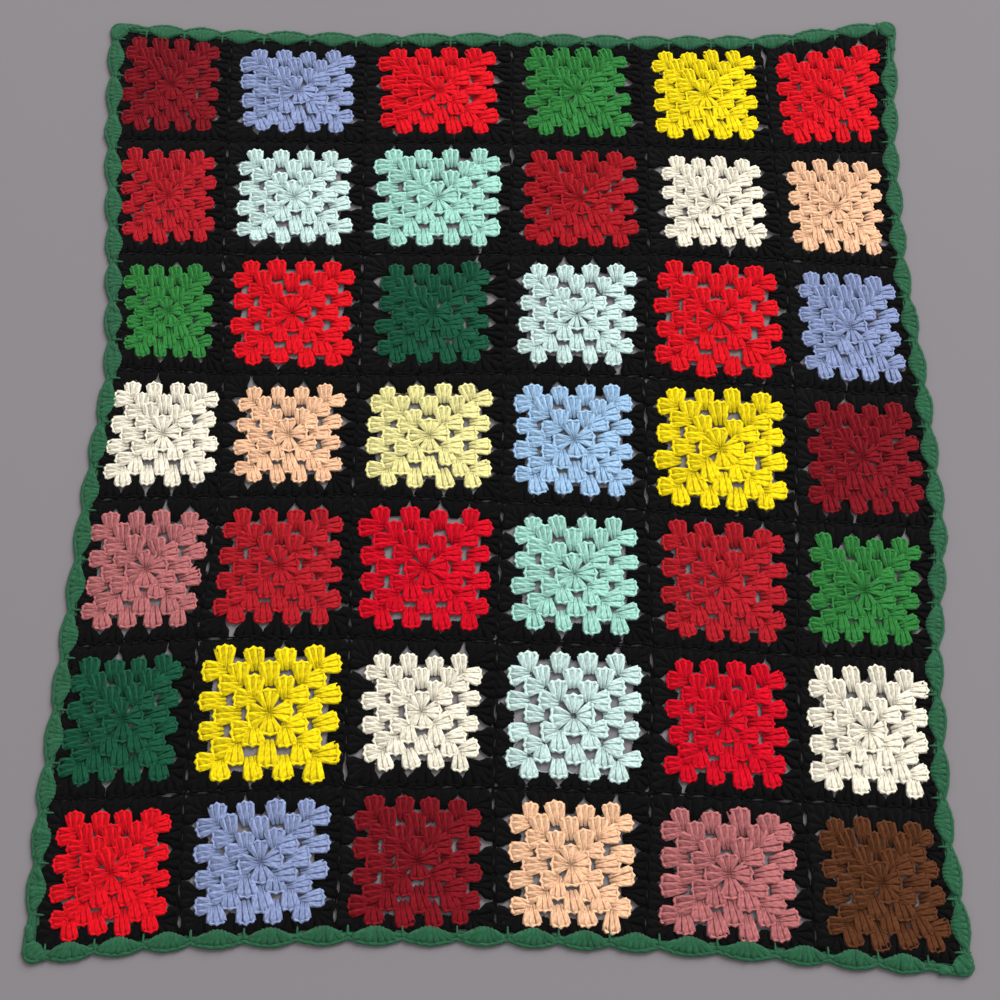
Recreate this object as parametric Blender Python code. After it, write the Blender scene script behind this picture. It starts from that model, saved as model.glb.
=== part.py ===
"""A crocheted granny square blanket that lies flat.

Forty-two coloured squares, seven rows of six, sit in one black ground: the last round of every
square, joined to its neighbours as it was worked. A green shell edging runs round the outside.
Each coloured square, the black ground and the edging is one closed solid, 0.3 mm from the next.
"""

import bmesh
import bpy
from mathutils import Vector

MM = 0.001

# --- Driving dimensions, in metres ----------------------------------------------------------

FABRIC_THICKNESS = 0.005    # worsted yarn, trebled up into clusters
FIT_GAP = 0.0003            # between one piece and the next
HALF_SEAM = 0.011           # black between a coloured square and the seam line
EDGE_BLACK = 0.005          # the least black between a coloured square and the edging
CREST_DEPTH = 0.0105        # edging, outside the black, at the middle of a shell
VALLEY_DEPTH = 0.0055       # edging, outside the black, between two shells
CORNER_DEPTH = 0.008        # how far a corner's shell reaches past the corner, each way
SHELLS_PER_SQUARE = 3       # shells of the edging along the side of one square
FIRST_SHELL = 0.07          # the middle of the first of them, as a share of that side
SHELL_STEP = 0.34           # from one shell to the next, as a share of that side
CUT_GAPS = 300              # spaces between clusters that are cut through, in all

# One shell of the edging: how far along it, and how much of the way from valley to crest.
SHELL_PROFILE = ((0.0, 1.0), (0.3, 0.75), (0.5, 0.0), (0.7, 0.75))

# --- A square, where 1 is half its coloured width or height -----------------------------------

CLUSTERS_PER_SIDE = 4       # in the last coloured round
CLUSTER_PITCH = 0.44        # from one cluster to the next
CLUSTER_HALF_TOP = 0.19     # half the width of a cluster's top
VALLEY_FLOOR = 0.80         # where the notch between two clusters ends
CORNER_FLOOR = 0.75         # where the notch at a corner ends, across and up
SPACE_ASIDE = 0.23          # middle of a space between clusters, from the square's middle line
SPACE_LOW, SPACE_HIGH = 0.55, 0.69              # its lower and upper edge
SPACE_HALF_FOOT, SPACE_HALF_HEAD = 0.095, 0.07  # half its width at those edges

# --- Where the seams cross, in millimetres from the blanket's middle --------------------------
# One row for each seam that runs across, from the top edge to the foot. The columns are the
# left edge, the five seams that run down, and the right edge.

SEAMS_ACROSS = ("top_edge", "seam_1", "seam_2", "seam_3", "seam_4", "seam_5", "seam_6", "foot")

CROSSING_X = {
    "top_edge": (-418, -295, -146, 12, 152, 288, 425),
    "seam_1":   (-413, -293, -146, 14, 158, 292, 415),
    "seam_2":   (-402, -291, -144, 10, 157, 298, 416),
    "seam_3":   (-394, -283, -144, 4, 148, 301, 428),
    "seam_4":   (-408, -281, -148, 2, 146, 296, 433),
    "seam_5":   (-417, -294, -146, -2, 148, 288, 417),
    "seam_6":   (-426, -298, -147, -6, 142, 286, 413),
    "foot":     (-428, -296, -152, -4, 134, 290, 424),
}

CROSSING_Y = {
    "top_edge": (502, 492, 487, 488, 484, 484, 504),
    "seam_1":   (366, 364, 362, 361, 357, 352, 349),
    "seam_2":   (229, 229, 228, 228, 228, 221, 212),
    "seam_3":   (97, 91, 89, 92, 87, 75, 66),
    "seam_4":   (-46, -43, -42, -48, -58, -70, -76),
    "seam_5":   (-198, -190, -189, -193, -198, -206, -211),
    "seam_6":   (-349, -342, -334, -336, -342, -349, -358),
    "foot":     (-488, -475, -470, -471, -477, -489, -500),
}

# --- The squares: yarn, coloured width and coloured height in millimetres ---------------------
# One line for each row of squares, from the top, each line from left to right.

SQUARES = (
    (("wine", 106, 116), ("periwinkle", 124, 104), ("red", 128, 108),
     ("green", 114, 112), ("yellow", 113, 112), ("red", 112, 118)),
    (("crimson", 99, 112), ("pale_mint", 120, 114), ("mint", 134, 118),
     ("dark_crimson", 122, 116), ("cream", 108, 108), ("peach", 100, 109)),
    (("green", 92, 107), ("red", 126, 122), ("dark_green", 118, 114),
     ("pale_mint", 121, 114), ("red", 130, 130), ("periwinkle", 104, 122)),
    (("cream", 110, 114), ("peach", 109, 106), ("butter", 128, 113),
     ("baby_blue", 121, 122), ("yellow", 132, 132), ("wine", 113, 120)),
    (("mauve", 116, 123), ("crimson", 122, 120), ("deep_red", 130, 128),
     ("mint", 123, 120), ("crimson", 121, 123), ("green", 110, 112)),
    (("dark_green", 111, 125), ("yellow", 136, 133), ("cream", 112, 115),
     ("pale_mint", 130, 126), ("deep_red", 116, 123), ("cream", 115, 124)),
    (("red", 109, 118), ("periwinkle", 125, 114), ("wine", 121, 121),
     ("peach", 116, 118), ("mauve", 128, 121), ("brown", 114, 122)),
)

YARN_COLOURS = {
    "wine": (0.19, 0.010, 0.016),
    "periwinkle": (0.24, 0.31, 0.62),
    "crimson": (0.37, 0.016, 0.024),
    "dark_crimson": (0.31, 0.012, 0.020),
    "red": (0.72, 0.012, 0.016),
    "deep_red": (0.58, 0.006, 0.022),
    "pale_mint": (0.55, 0.78, 0.72),
    "mint": (0.36, 0.69, 0.58),
    "cream": (0.86, 0.80, 0.64),
    "peach": (0.88, 0.52, 0.32),
    "green": (0.035, 0.25, 0.06),
    "dark_green": (0.010, 0.085, 0.045),
    "butter": (0.84, 0.79, 0.34),
    "baby_blue": (0.32, 0.50, 0.80),
    "yellow": (0.85, 0.66, 0.012),
    "mauve": (0.39, 0.13, 0.15),
    "brown": (0.11, 0.035, 0.014),
    "black": (0.012, 0.012, 0.014),
    "edging_green": (0.018, 0.15, 0.06),
}
YARN_ROUGHNESS = 0.9


def clear_scene():
    """Removes whatever the scene already holds."""
    for item in list(bpy.data.objects):
        bpy.data.objects.remove(item, do_unlink=True)


def yarn_material(name):
    """The matt finish of one yarn, made once and shared by every piece worked in it."""
    material = bpy.data.materials.get(name)
    if material:
        return material
    material = bpy.data.materials.new(name)
    material.use_nodes = True
    shader = material.node_tree.nodes["Principled BSDF"]
    shader.inputs["Base Color"].default_value = (*YARN_COLOURS[name], 1.0)
    shader.inputs["Roughness"].default_value = YARN_ROUGHNESS
    shader.inputs["Metallic"].default_value = 0.0
    material.diffuse_color = (*YARN_COLOURS[name], 1.0)
    return material


def crossing(row, column):
    """The point where a seam across and a seam down meet; 0 is the top or left edge."""
    seam = SEAMS_ACROSS[row]
    return Vector((CROSSING_X[seam][column], CROSSING_Y[seam][column])) * MM


def black_before(black, is_first, is_last):
    """The black on a square's left or upper side: half of it all, but uneven at the edges."""
    at_edge = max(black - HALF_SEAM, EDGE_BLACK)
    if is_first:
        return at_edge
    if is_last:
        return black - at_edge
    return black / 2


def square_mapping(row, column):
    """A function from a square's own place, -1 to 1 across and up, to a point of the blanket."""
    top_left, top_right = crossing(row, column), crossing(row, column + 1)
    foot_left, foot_right = crossing(row + 1, column), crossing(row + 1, column + 1)
    cell_wide = ((top_right - top_left).length + (foot_right - foot_left).length) / 2
    cell_tall = ((top_left - foot_left).length + (top_right - foot_right).length) / 2
    _, wide, tall = SQUARES[row][column]
    wide, tall = wide * MM, tall * MM
    last_row, last_column = len(SQUARES) - 1, len(SQUARES[0]) - 1
    left = black_before(cell_wide - wide, column == 0, column == last_column)
    above = black_before(cell_tall - tall, row == 0, row == last_row)

    def place(across, up):
        s = (left + wide * (1 + across) / 2) / cell_wide
        t = (above + tall * (1 - up) / 2) / cell_tall
        high = top_left.lerp(top_right, s)
        low = foot_left.lerp(foot_right, s)
        return high.lerp(low, t)

    return place


def turned(point, quarter_turns):
    """A point of a square's top side, turned clockwise to another side."""
    across, up = point
    for _ in range(quarter_turns):
        across, up = up, -across
    return across, up


def lobed_outline():
    """The coloured outline: two points at each cluster's top and one in each notch, clockwise."""
    side = []
    first = -(CLUSTERS_PER_SIDE - 1) / 2
    for cluster in range(CLUSTERS_PER_SIDE):
        middle = (first + cluster) * CLUSTER_PITCH
        side += [(middle - CLUSTER_HALF_TOP, 1.0), (middle + CLUSTER_HALF_TOP, 1.0)]
        is_corner = cluster == CLUSTERS_PER_SIDE - 1
        side.append((CORNER_FLOOR, CORNER_FLOOR) if is_corner
                    else (middle + CLUSTER_PITCH / 2, VALLEY_FLOOR))
    return [turned(point, quarter) for quarter in range(4) for point in side]


def window_outline():
    """The same outline without the notches along its sides, for the hole in the black ground."""
    reach = (CLUSTERS_PER_SIDE - 1) / 2 * CLUSTER_PITCH + CLUSTER_HALF_TOP
    side = [(-reach, 1.0), (reach, 1.0), (CORNER_FLOOR, CORNER_FLOOR)]
    return [turned(point, quarter) for quarter in range(4) for point in side]


def space_outlines(count):
    """The cut spaces of one square: one a side, then the second of each side."""
    spaces = []
    for index in range(count):
        aside = SPACE_ASIDE if index < 4 else -SPACE_ASIDE
        corners = [(aside - SPACE_HALF_FOOT, SPACE_LOW), (aside + SPACE_HALF_FOOT, SPACE_LOW),
                   (aside + SPACE_HALF_HEAD, SPACE_HIGH), (aside - SPACE_HALF_HEAD, SPACE_HIGH)]
        spaces.append([turned(corner, index % 4) for corner in corners])
    return spaces


def grown(outline, distance):
    """A clockwise outline with every edge moved outwards by the distance."""
    result = []
    count = len(outline)
    for index, point in enumerate(outline):
        before = (point - outline[index - 1]).normalized()
        after = (outline[(index + 1) % count] - point).normalized()
        out_before = Vector((-before.y, before.x))
        out_after = Vector((-after.y, after.x))
        middle = (out_before + out_after).normalized()
        result.append(point + middle * (distance / middle.dot(out_before)))
    return result


def flat_solid(name, outline, holes, yarn):
    """A sheet of the fabric's thickness, lying on the floor, with holes right through it."""
    mesh_maker = bmesh.new()
    for loop in [outline, *holes]:
        points = [mesh_maker.verts.new((point.x, point.y, 0.0)) for point in loop]
        for index, point in enumerate(points):
            mesh_maker.edges.new((points[index - 1], point))
    bmesh.ops.triangle_fill(mesh_maker, use_beauty=True, edges=mesh_maker.edges[:])
    raised = bmesh.ops.extrude_face_region(mesh_maker, geom=mesh_maker.faces[:])
    top = [part for part in raised["geom"] if isinstance(part, bmesh.types.BMVert)]
    bmesh.ops.translate(mesh_maker, verts=top, vec=(0.0, 0.0, FABRIC_THICKNESS))
    bmesh.ops.recalc_face_normals(mesh_maker, faces=mesh_maker.faces[:])
    mesh = bpy.data.meshes.new(name)
    mesh_maker.to_mesh(mesh)
    mesh_maker.free()
    piece = bpy.data.objects.new(name, mesh)
    bpy.context.scene.collection.objects.link(piece)
    mesh.materials.append(yarn_material(yarn))
    return piece


def spaces_in_each_square():
    """Four cut spaces in every square, then all eight in the largest, up to the number in all."""
    places = [(row, column) for row in range(len(SQUARES)) for column in range(len(SQUARES[0]))]
    by_size = sorted(places, key=lambda at: -SQUARES[at[0]][at[1]][1] * SQUARES[at[0]][at[1]][2])
    open_squares = (CUT_GAPS - 4 * len(places)) // 4
    return {place: 8 if rank < open_squares else 4 for rank, place in enumerate(by_size)}


def ground_edge():
    """The outside of the black ground, clockwise from the top left crossing."""
    last_row, last_column = len(SQUARES), len(SQUARES[0])
    around = [(0, column) for column in range(last_column)]
    around += [(row, last_column) for row in range(last_row)]
    around += [(last_row, column) for column in range(last_column, 0, -1)]
    around += [(row, 0) for row in range(last_row, 0, -1)]
    return [crossing(*place) for place in around]


def edging_outline():
    """The scalloped outside of the edging, clockwise, with a shell round each corner."""
    last_row, last_column = len(SQUARES), len(SQUARES[0])
    sides = (
        ([(0, column) for column in range(last_column + 1)], Vector((0, 1))),
        ([(row, last_column) for row in range(last_row + 1)], Vector((1, 0))),
        ([(last_row, column) for column in range(last_column, -1, -1)], Vector((0, -1))),
        ([(row, 0) for row in range(last_row, -1, -1)], Vector((-1, 0))),
    )
    outline = []
    for number, (places, outwards) in enumerate(sides):
        line = [crossing(*place) for place in places]
        outline.append(line[0] + (outwards + sides[number - 1][1]) * CORNER_DEPTH)
        for square, (start, end) in enumerate(zip(line, line[1:])):
            for shell in range(SHELLS_PER_SQUARE):
                is_corner_shell = square == 0 and shell == 0
                for along, rise in SHELL_PROFILE[is_corner_shell:]:
                    depth = VALLEY_DEPTH + rise * (CREST_DEPTH - VALLEY_DEPTH)
                    share = FIRST_SHELL + (shell + along) * SHELL_STEP
                    outline.append(start.lerp(end, share) + outwards * depth)
    return outline


def build_squares():
    """The coloured middles of all the squares."""
    counts = spaces_in_each_square()
    for row, line in enumerate(SQUARES):
        for column, (yarn, _, _) in enumerate(line):
            place = square_mapping(row, column)
            outline = [place(*point) for point in lobed_outline()]
            holes = [[place(*point) for point in space]
                     for space in space_outlines(counts[row, column])]
            flat_solid(f"square_{row + 1}_{column + 1}_{yarn}", outline, holes, yarn)


def build_ground():
    """The black ground, with a window for each coloured middle."""
    windows = []
    for row, line in enumerate(SQUARES):
        for column in range(len(line)):
            place = square_mapping(row, column)
            windows.append(grown([place(*point) for point in window_outline()], FIT_GAP))
    flat_solid("black_ground", ground_edge(), windows, "black")


def build_edging():
    """The green shell edging."""
    flat_solid("shell_edging", edging_outline(), [grown(ground_edge(), FIT_GAP)], "edging_green")


clear_scene()
build_squares()
build_ground()
build_edging()
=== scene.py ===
"""The looks of the granny square blanket: each stitch in yarn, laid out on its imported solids."""

import logging
import math
from dataclasses import dataclass, field, replace
from enum import Enum

import bpy
import numpy as np
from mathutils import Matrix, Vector


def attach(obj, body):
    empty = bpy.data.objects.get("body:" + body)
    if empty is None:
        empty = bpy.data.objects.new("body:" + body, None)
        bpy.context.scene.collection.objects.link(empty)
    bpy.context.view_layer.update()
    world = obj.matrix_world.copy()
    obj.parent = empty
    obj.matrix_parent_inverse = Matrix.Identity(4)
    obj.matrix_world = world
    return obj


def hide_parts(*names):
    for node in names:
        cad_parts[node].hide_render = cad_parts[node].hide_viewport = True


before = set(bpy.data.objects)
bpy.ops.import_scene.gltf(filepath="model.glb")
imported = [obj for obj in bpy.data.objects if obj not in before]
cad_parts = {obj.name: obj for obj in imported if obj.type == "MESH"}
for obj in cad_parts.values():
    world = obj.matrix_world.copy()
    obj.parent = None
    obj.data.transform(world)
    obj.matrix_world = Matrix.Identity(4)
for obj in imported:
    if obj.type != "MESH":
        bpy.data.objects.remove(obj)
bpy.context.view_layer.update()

MM = 0.001
log = logging.getLogger("blanket")


# --- Named options ------------------------------------------------------------------------------


class Yarn(Enum):
    """The yarns in the blanket; each value names the yarn's material and its pieces."""

    WINE = "wine"
    PERIWINKLE = "periwinkle"
    CRIMSON = "crimson"
    DARK_CRIMSON = "dark_crimson"
    RED = "red"
    DEEP_RED = "deep_red"
    PALE_MINT = "pale_mint"
    MINT = "mint"
    CREAM = "cream"
    PEACH = "peach"
    GREEN = "green"
    DARK_GREEN = "dark_green"
    BUTTER = "butter"
    BABY_BLUE = "baby_blue"
    YELLOW = "yellow"
    MAUVE = "mauve"
    BROWN = "brown"
    BLACK = "black"
    EDGING_GREEN = "edging_green"


class Side(Enum):
    """The sides of a square; each value is its quarter turns clockwise from the top."""

    TOP = 0
    RIGHT = 1
    FOOT = 2
    LEFT = 3


# --- Finishes -----------------------------------------------------------------------------------

# The surface of a yarn; noise scales are for each metre.
BLOTCHES = {"Scale": 380.0, "Detail": 3.0}
BLOTCH_SHADES = {"From Min": 0.3, "From Max": 0.7, "To Min": 0.80, "To Max": 1.12}
FIBRES = {"Scale": 2600.0, "Detail": 2.0}
FIBRE_HEIGHT = 4.0      # of loose fibres, to the height of a ply, where the fuzz is 1
PLY_HEIGHT = 0.4 * MM
GROOVE_PAINTED_SHADE = {"From Min": -1.0, "From Max": 0.2, "To Max": 1.0}     # painted shade in a ply's groove, from its bottom to its rim
SHEEN_PALENESS = 0.5    # how far the sheen goes from the yarn's colour to white
SHEEN_ROUGHNESS = 0.5


def set_inputs(node: bpy.types.Node, settings: dict) -> None:
    """Sets a shader node's inputs.

    Args:
        node: the node.
        settings: for each input, by name or number, its value or the output that feeds it.
    """
    for key, setting in settings.items():
        if isinstance(setting, bpy.types.NodeSocket):
            node.id_data.links.new(setting, node.inputs[key])
        else:
            node.inputs[key].default_value = setting


def add_node(tree: bpy.types.NodeTree, kind: str, settings: dict, **options: str) -> bpy.types.Node:
    """Adds a shader node.

    Args:
        tree: the nodes that it joins.
        kind: its type, less the word ShaderNode.
        settings: its inputs, as set_inputs takes them.
        options: its own options, such as its operation.

    Returns:
        The new node.
    """
    node = tree.nodes.new(f"ShaderNode{kind}")
    for name, option in options.items():
        setattr(node, name, option)
    set_inputs(node, settings)
    return node


@dataclass(frozen=True)
class YarnFinish:
    """How one yarn looks: its colour, in linear light, and how soft its surface is."""

    colour: tuple[float, float, float]
    roughness: float = 0.9
    sheen: float = 0.05
    fuzz: float = 0.5
    ply_depth: float = 0.5
    # painted shade in the grooves between the plies, as a factor on the colour
    groove_painted_shade: float = 0.84
    specular: float = 0.06

    def plies(self, tree: bpy.types.NodeTree) -> bpy.types.NodeSocket:
        """Adds the twist of the plies.

        Args:
            tree: the material's nodes.

        Returns:
            A wave, from -1 in the grooves between plies to 1 on their ridges.
        """
        place = add_node(tree, "UVMap", {}, uv_map="ply").outputs["UV"]
        laid = add_node(tree, "SeparateXYZ", {"Vector": place}).outputs
        lay = add_node(tree, "Math", {0: laid["X"], 1: float(PLIES), 2: laid["Y"]},
                       operation="MULTIPLY_ADD").outputs[0]
        turn = add_node(tree, "Math", {0: lay, 1: 2.0 * math.pi}, operation="MULTIPLY").outputs[0]
        return add_node(tree, "Math", {0: turn}, operation="SINE").outputs[0]

    def dye_and_painted_shade(self, tree: bpy.types.NodeTree, place: bpy.types.NodeSocket,
            ridge: bpy.types.NodeSocket) -> bpy.types.NodeSocket:
        """Adds the colour: the uneven dye, with painted shade in the grooves between plies and deep
        in the work.

        Args:
            tree: the material's nodes.
            place: the place on the blanket.
            ridge: the wave of the plies.

        Returns:
            The colour.
        """
        blotches = add_node(tree, "TexNoise", {**BLOTCHES, "Vector": place}).outputs["Fac"]
        uneven = add_node(tree, "MapRange", {**BLOTCH_SHADES, "Value": blotches})
        painted_groove_shade = add_node(tree, "MapRange", {**GROOVE_PAINTED_SHADE, "To Min": self.groove_painted_shade,
                                             "Value": ridge})
        # The shade attribute holds painted shade and highlight with the dye's random tone; the uneven
        # dye and the painted shade in the grooves multiply it.
        light = add_node(tree, "Attribute", {}, attribute_name="shade").outputs["Fac"]
        for part in (uneven, painted_groove_shade):
            light = add_node(tree, "Math", {0: light, 1: part.outputs["Result"]},
                             operation="MULTIPLY").outputs[0]
        dye_and_painted_shade = add_node(tree, "VectorMath", {0: self.colour, "Scale": light}, operation="SCALE")
        return dye_and_painted_shade.outputs["Vector"]

    def relief(self, tree: bpy.types.NodeTree, place: bpy.types.NodeSocket,
               ridge: bpy.types.NodeSocket) -> bpy.types.NodeSocket:
        """Adds the relief of the plies and of the loose fibres on them.

        Args:
            tree: the material's nodes.
            place: the place on the blanket.
            ridge: the wave of the plies.

        Returns:
            The surface's direction.
        """
        fibres = add_node(tree, "TexNoise", {**FIBRES, "Vector": place}).outputs["Fac"]
        height = add_node(tree, "Math", {0: fibres, 1: self.fuzz * FIBRE_HEIGHT, 2: ridge},
                          operation="MULTIPLY_ADD").outputs[0]
        bump = add_node(tree, "Bump", {"Strength": self.ply_depth, "Distance": PLY_HEIGHT,
                                       "Height": height})
        return bump.outputs["Normal"]

    def material(self, yarn: Yarn) -> bpy.types.Material:
        """Builds the yarn's procedural material.

        Args:
            yarn: the yarn that the material is named after.

        Returns:
            A material with twisted plies, loose fibres, uneven dye and painted shade.
        """
        material = bpy.data.materials.new(f"{yarn.value}_yarn")
        material.use_nodes = True
        tree = material.node_tree
        place = add_node(tree, "TexCoord", {}).outputs["Object"]
        ridge = self.plies(tree)
        tint = [SHEEN_PALENESS + (1 - SHEEN_PALENESS) * part for part in self.colour]
        set_inputs(tree.nodes["Principled BSDF"], {
            "Base Color": self.dye_and_painted_shade(tree, place, ridge),
            "Normal": self.relief(tree, place, ridge),
            "Roughness": self.roughness,
            "Specular IOR Level": self.specular,
            "Sheen Weight": self.sheen,
            "Sheen Roughness": SHEEN_ROUGHNESS,
            "Sheen Tint": (*tint, 1.0),
        })
        return material


FINISHES = {
    Yarn.WINE: YarnFinish((0.200, 0.0058, 0.0116)),
    Yarn.PERIWINKLE: YarnFinish((0.254, 0.313, 0.527)),
    Yarn.CRIMSON: YarnFinish((0.422, 0.0107, 0.0187)),
    Yarn.DARK_CRIMSON: YarnFinish((0.368, 0.0076, 0.014)),
    Yarn.RED: YarnFinish((0.705, 0.0051, 0.0133)),
    Yarn.DEEP_RED: YarnFinish((0.617, 0.0020, 0.0155)),
    Yarn.PALE_MINT: YarnFinish((0.573, 0.757, 0.714)),
    Yarn.MINT: YarnFinish((0.357, 0.671, 0.569)),
    Yarn.CREAM: YarnFinish((0.883, 0.817, 0.664)),
    Yarn.PEACH: YarnFinish((0.90, 0.53, 0.322)),
    Yarn.GREEN: YarnFinish((0.0306, 0.200, 0.042)),
    Yarn.DARK_GREEN: YarnFinish((0.0086, 0.081, 0.040)),
    Yarn.BUTTER: YarnFinish((0.836, 0.770, 0.325)),
    Yarn.BABY_BLUE: YarnFinish((0.335, 0.521, 0.748)),
    Yarn.YELLOW: YarnFinish((0.89, 0.686, 0.0062)),
    Yarn.MAUVE: YarnFinish((0.451, 0.145, 0.148)),
    Yarn.BROWN: YarnFinish((0.100, 0.033, 0.012)),
    Yarn.BLACK: YarnFinish((0.0032, 0.0028, 0.0032), roughness=0.95, sheen=0.015, specular=0.07),
    Yarn.EDGING_GREEN: YarnFinish((0.020, 0.125, 0.055), sheen=0.2, fuzz=1.6, ply_depth=0.7),
}


# --- The layout ---------------------------------------------------------------------------------

# Where the seams cross, in millimetres from the blanket's middle: one row for each seam that
# runs across, from the top edge to the foot. The columns are the left edge, the five seams that
# run down, and the right edge.
CROSSING_X = (
    (-418, -295, -146, 12, 152, 288, 425),
    (-413, -293, -146, 14, 158, 292, 415),
    (-402, -291, -144, 10, 157, 298, 416),
    (-394, -283, -144, 4, 148, 301, 428),
    (-408, -281, -148, 2, 146, 296, 433),
    (-417, -294, -146, -2, 148, 288, 417),
    (-426, -298, -147, -6, 142, 286, 413),
    (-428, -296, -152, -4, 134, 290, 424),
)
CROSSING_Y = (
    (502, 492, 487, 488, 484, 484, 504),
    (366, 364, 362, 361, 357, 352, 349),
    (229, 229, 228, 228, 228, 221, 212),
    (97, 91, 89, 92, 87, 75, 66),
    (-46, -43, -42, -48, -58, -70, -76),
    (-198, -190, -189, -193, -198, -206, -211),
    (-349, -342, -334, -336, -342, -349, -358),
    (-488, -475, -470, -471, -477, -489, -500),
)
CROSSINGS = np.stack([np.array(CROSSING_X, float), np.array(CROSSING_Y, float)], -1) * MM

# The squares, from the top row down and from left to right: yarn, coloured width and height in
# millimetres, and how open the work is, from 0 for pinholes to 1 for clear gaps.
SQUARES = (
    ((Yarn.WINE, 106, 116, 0.00), (Yarn.PERIWINKLE, 124, 104, 0.15), (Yarn.RED, 128, 108, 0.10),
     (Yarn.GREEN, 114, 112, 0.00), (Yarn.YELLOW, 113, 112, 0.10), (Yarn.RED, 112, 118, 0.20)),
    ((Yarn.CRIMSON, 99, 112, 0.05), (Yarn.PALE_MINT, 120, 114, 0.60), (Yarn.MINT, 134, 118, 0.55),
     (Yarn.DARK_CRIMSON, 122, 116, 0.10), (Yarn.CREAM, 108, 108, 0.35), (Yarn.PEACH, 100, 109, 0.20)),
    ((Yarn.GREEN, 92, 107, 0.10), (Yarn.RED, 126, 122, 0.70), (Yarn.DARK_GREEN, 118, 114, 0.15),
     (Yarn.PALE_MINT, 121, 114, 0.70), (Yarn.RED, 130, 130, 0.60), (Yarn.PERIWINKLE, 104, 122, 0.15)),
    ((Yarn.CREAM, 110, 114, 0.35), (Yarn.PEACH, 109, 106, 0.50), (Yarn.BUTTER, 128, 113, 0.60),
     (Yarn.BABY_BLUE, 121, 122, 0.50), (Yarn.YELLOW, 132, 132, 0.50), (Yarn.WINE, 113, 120, 0.20)),
    ((Yarn.MAUVE, 116, 123, 0.40), (Yarn.CRIMSON, 122, 120, 0.40), (Yarn.DEEP_RED, 130, 128, 0.60),
     (Yarn.MINT, 123, 120, 0.65), (Yarn.CRIMSON, 121, 123, 0.40), (Yarn.GREEN, 110, 112, 0.20)),
    ((Yarn.DARK_GREEN, 111, 125, 0.02), (Yarn.YELLOW, 136, 133, 0.60), (Yarn.CREAM, 112, 115, 0.60),
     (Yarn.PALE_MINT, 130, 126, 1.00), (Yarn.DEEP_RED, 116, 123, 0.35), (Yarn.CREAM, 115, 124, 0.40)),
    ((Yarn.RED, 109, 118, 0.15), (Yarn.PERIWINKLE, 125, 114, 0.40), (Yarn.WINE, 121, 121, 0.42),
     (Yarn.PEACH, 116, 118, 0.55), (Yarn.MAUVE, 128, 121, 0.30), (Yarn.BROWN, 114, 122, 0.00)),
)
ROWS, COLUMNS = len(SQUARES), len(SQUARES[0])
HALF_SEAM = 11 * MM     # black between a coloured square and the seam line
EDGE_BLACK = 5 * MM     # the least black between a coloured square and the edging

PLIES = 3               # plies that show round a strand
PLY_LAY = 9 * MM        # length of yarn in which a ply goes once round
PAINTED_UNDERSIDE_SHADE = 0.70       # painted shade: how dark a strand is painted underneath, where light hardly gets in
PAINTED_UNDERSIDE_FALL = 1.2         # how soon the painted shade darkens on the way down


# The section of a post: two strands side by side, across and up.
POST_SECTION = np.array([
    (1.00, 0.00), (0.60, 0.95), (0.00, 0.12), (-0.60, 0.95),
    (-1.00, 0.00), (-0.55, -0.45), (0.00, -0.50), (0.55, -0.45),
])


def round_section(sides: int, lobes: float = 0.2) -> np.ndarray:
    """Draws a section of one yarn: a circle drawn out a little into two lobes.

    Args:
        sides: how many points it has.
        lobes: how far the lobes reach beyond the circle.

    Returns:
        The points, across and up.
    """
    angle = np.arange(sides) * 2 * math.pi / sides
    reach = 1 + lobes * np.cos(2 * angle)
    return np.stack([reach * np.cos(angle), reach * np.sin(angle)], axis=1)


# --- Strands of yarn ----------------------------------------------------------------------------

# Which corners a face of a strand has, of near and far on its left, and far and near on its
# right: at a strand's tips the two that lie at the tip are one.
WHOLE_FACE, FIRST_FACE, LAST_FACE = [0, 1, 2, 3], [0, 1, 2], [0, 1, 3]


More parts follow.
